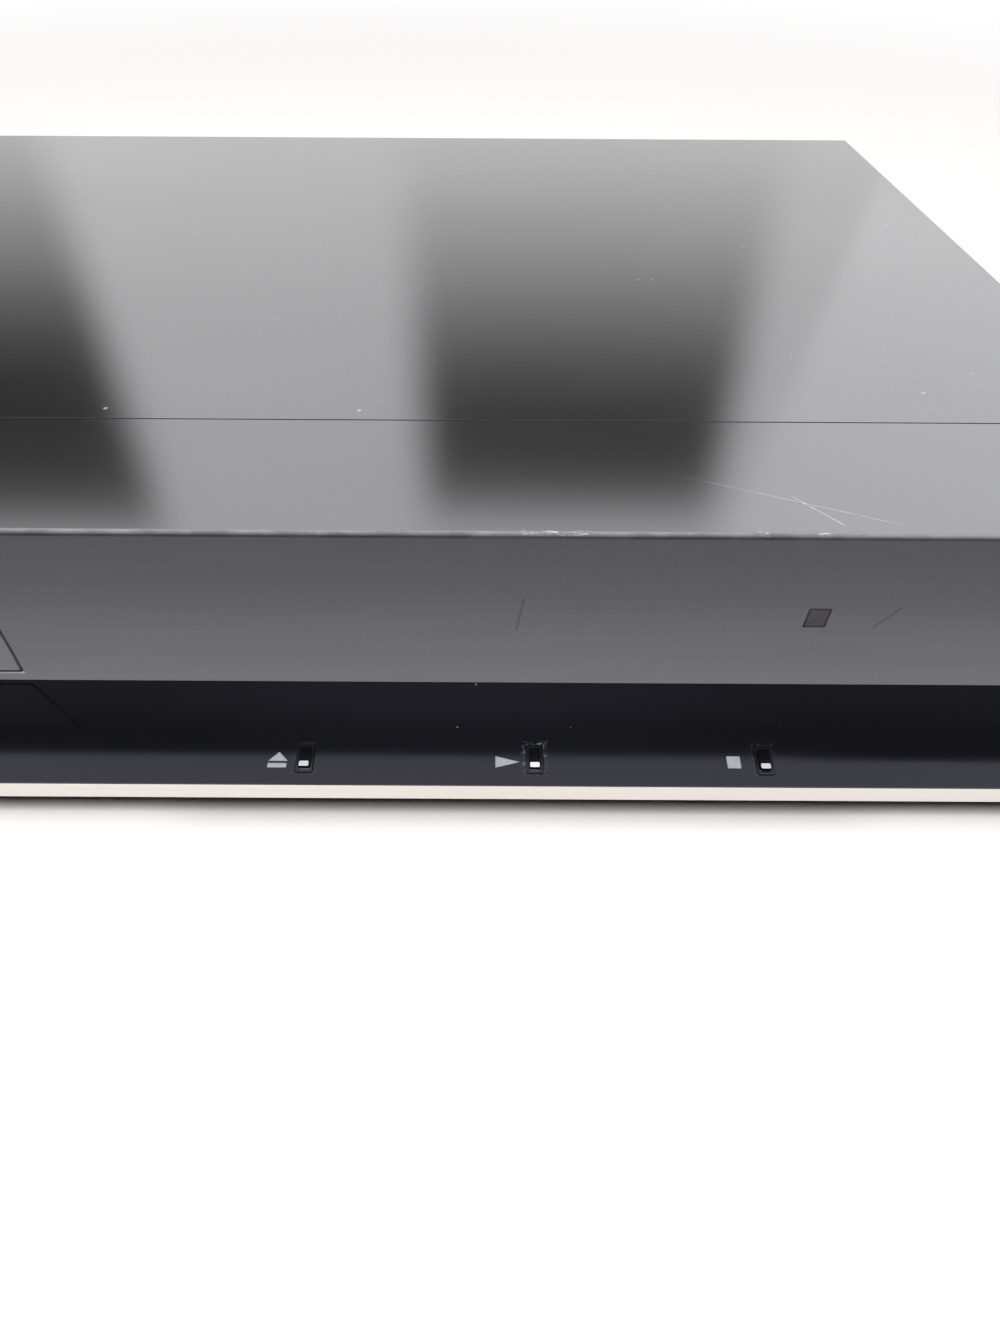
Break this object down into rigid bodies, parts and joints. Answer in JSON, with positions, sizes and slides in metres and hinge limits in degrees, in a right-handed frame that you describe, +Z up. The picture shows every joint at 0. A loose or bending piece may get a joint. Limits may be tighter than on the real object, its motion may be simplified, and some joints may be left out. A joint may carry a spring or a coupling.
{
  "type": "disc player",
  "caption": "Slim table-top disc player with a motor-driven tray, a sloping black ledge with press keys, and a full tray loader and traverse inside.",
  "frame": {"origin": "middle of the footprint, on the table", "axes": "+Z up, -Y out of the front, +X to the right as seen from the front"},
  "size_m": [0.363, 0.223, 0.0426],
  "materials": {
    "satin_grey": "satin grey paint on a plastic front panel",
    "door_grey": "satin grey, a little lighter",
    "gloss_black": "gloss black plastic",
    "bright_trim": "bright plated strip",
    "smoke_window": "dark infrared window",
    "key_black": "black key",
    "pale_inlay": "pale inlay",
    "grey_steel": "satin grey painted steel",
    "zinc_steel": "zinc plated steel",
    "screw_steel": "plated steel",
    "soft_rubber": "black rubber",
    "green_board": "green circuit board",
    "brown_board": "brown paper board",
    "black_plastic": "black moulded plastic",
    "white_plastic": "white sliding plastic",
    "dark_grey_plastic": "dark grey moulded plastic",
    "aluminium_fins": "bare aluminium",
    "gold_plate": "gold plated",
    "copper_core": "wound core in tape",
    "lens_glass": "coated lens",
    "ground_steel": "ground steel rod"
  },
  "bodies": {
    "player": {"front_panel": "satin_grey", "ledge_panel": "gloss_black", "front_trim": "bright_trim", "sensor_window": "smoke_window", "sensor_board": "brown_board", "remote_receiver": "black_plastic", "key_switches": "dark_grey_plastic", "key_board": "brown_board", "power_key_board": "brown_board", "key_board_screws": "screw_steel", "bottom_pan": "zinc_steel", "top_cover": "grey_steel", "cover_screws": "screw_steel", "panel_screws": "screw_steel", "feet": "soft_rubber", "loader_frame": "dark_grey_plastic", "drive_belt": "soft_rubber", "loading_motor": "zinc_steel", "clamp_bridge": "zinc_steel", "small_screws": "screw_steel", "main_board": "green_board", "power_board": "brown_board", "inner_screws": "screw_steel", "main_chip": "black_plastic", "heat_sink": "aluminium_fins", "capacitors": "black_plastic", "transformer": "copper_core", "bulk_capacitor": "black_plastic", "phono_jacks": "gold_plate", "video_socket": "black_plastic", "power_inlet": "black_plastic"},
    "tray_body": {"tray": "black_plastic", "tray_door": "door_grey"},
    "drive_gear_body": {"drive_gear": "white_plastic"},
    "pulley_gear_body": {"pulley_gear": "white_plastic"},
    "motor_pulley_body": {"motor_pulley": "white_plastic"},
    "cam_body": {"cam_slider": "white_plastic"},
    "traverse_body": {"traverse_frame": "dark_grey_plastic", "spindle_motor": "zinc_steel", "guide_rods": "ground_steel", "sled_motor": "zinc_steel"},
    "lead_screw_body": {"lead_screw": "ground_steel"},
    "sled_body": {"pickup_sled": "aluminium_fins"},
    "lens_body": {"lens_holder": "black_plastic", "objective_lens": "lens_glass"},
    "turntable_body": {"turntable": "black_plastic"},
    "clamper_body": {"clamper": "white_plastic", "clamper_yoke": "zinc_steel"},
    "eject_key_body": {"eject_key": "key_black", "eject_inlay": "pale_inlay", "eject_plunger": "white_plastic"},
    "play_key_body": {"play_key": "key_black", "play_inlay": "pale_inlay", "play_plunger": "white_plastic"},
    "stop_key_body": {"stop_key": "key_black", "stop_inlay": "pale_inlay", "stop_plunger": "white_plastic"},
    "power_key_body": {"power_key": "key_black", "power_inlay": "pale_inlay", "power_plunger": "white_plastic"}
  },
  "joints": [
    {"name": "tray_slide", "type": "slide", "parent": "player", "child": "tray_body", "axis": [0, -1, 0], "range_m": [0, 0.14]},
    {"name": "drive_gear_spin", "type": "hinge", "parent": "player", "child": "drive_gear_body", "pos_m": [-0.112, -0.066, 0.013], "axis": [0, 0, 1], "range_deg": [-5, 1008]},
    {"name": "pulley_gear_spin", "type": "hinge", "parent": "player", "child": "pulley_gear_body", "pos_m": [-0.086, -0.066, 0.013], "axis": [0, 0, 1], "range_deg": [-3348, 5]},
    {"name": "motor_pulley_spin", "type": "hinge", "parent": "player", "child": "motor_pulley_body", "pos_m": [-0.04, -0.066, 0.016], "axis": [0, 0, 1], "range_deg": [-13375, 5]},
    {"name": "cam_slide", "type": "slide", "parent": "player", "child": "cam_body", "axis": [-1, 0, 0], "range_m": [0, 0.014]},
    {"name": "traverse_tilt", "type": "hinge", "parent": "player", "child": "traverse_body", "pos_m": [-0.074, 0.078, 0.0117], "axis": [1, 0, 0], "range_deg": [0, 4]},
    {"name": "spindle_spin", "type": "hinge", "parent": "traverse_body", "child": "turntable_body", "pos_m": [-0.074, -0.014, 0.021], "axis": [0, 0, 1], "continuous": true},
    {"name": "clamper_spin", "type": "hinge", "parent": "player", "child": "clamper_body", "pos_m": [-0.074, -0.014, 0.027], "axis": [0, 0, 1], "continuous": true},
    {"name": "sled_slide", "type": "slide", "parent": "traverse_body", "child": "sled_body", "axis": [0, 1, 0], "range_m": [0, 0.034]},
    {"name": "lead_screw_spin", "type": "hinge", "parent": "traverse_body", "child": "lead_screw_body", "pos_m": [-0.043, 0.02, 0.0124], "axis": [0, 1, 0], "range_deg": [-5, 4085]},
    {"name": "lens_focus", "type": "slide", "parent": "sled_body", "child": "lens_body", "axis": [0, 0, 1], "range_m": [-0.0004, 0.0004], "stiffness_N_per_m": 60},
    {"name": "eject_press", "type": "slide", "parent": "player", "child": "eject_key_body", "axis": [0, 0.1736, -0.9848], "range_m": [0, 0.0004], "stiffness_N_per_m": 400},
    {"name": "play_press", "type": "slide", "parent": "player", "child": "play_key_body", "axis": [0, 0.1736, -0.9848], "range_m": [0, 0.0004], "stiffness_N_per_m": 400},
    {"name": "stop_press", "type": "slide", "parent": "player", "child": "stop_key_body", "axis": [0, 0.1736, -0.9848], "range_m": [0, 0.0004], "stiffness_N_per_m": 400},
    {"name": "power_press", "type": "slide", "parent": "player", "child": "power_key_body", "axis": [0, 0.1736, -0.9848], "range_m": [0, 0.0004], "stiffness_N_per_m": 400}
  ],
  "couplings": [
    {"joint": "drive_gear_spin", "follows": "tray_slide", "rad_per_m": 125},
    {"joint": "pulley_gear_spin", "follows": "tray_slide", "rad_per_m": -416.67},
    {"joint": "motor_pulley_spin", "follows": "tray_slide", "rad_per_m": -1666.7},
    {"joint": "traverse_tilt", "follows": "cam_slide", "rad_per_m": 4.9867},
    {"joint": "lead_screw_spin", "follows": "sled_slide", "rad_per_m": 2094.4}
  ]
}
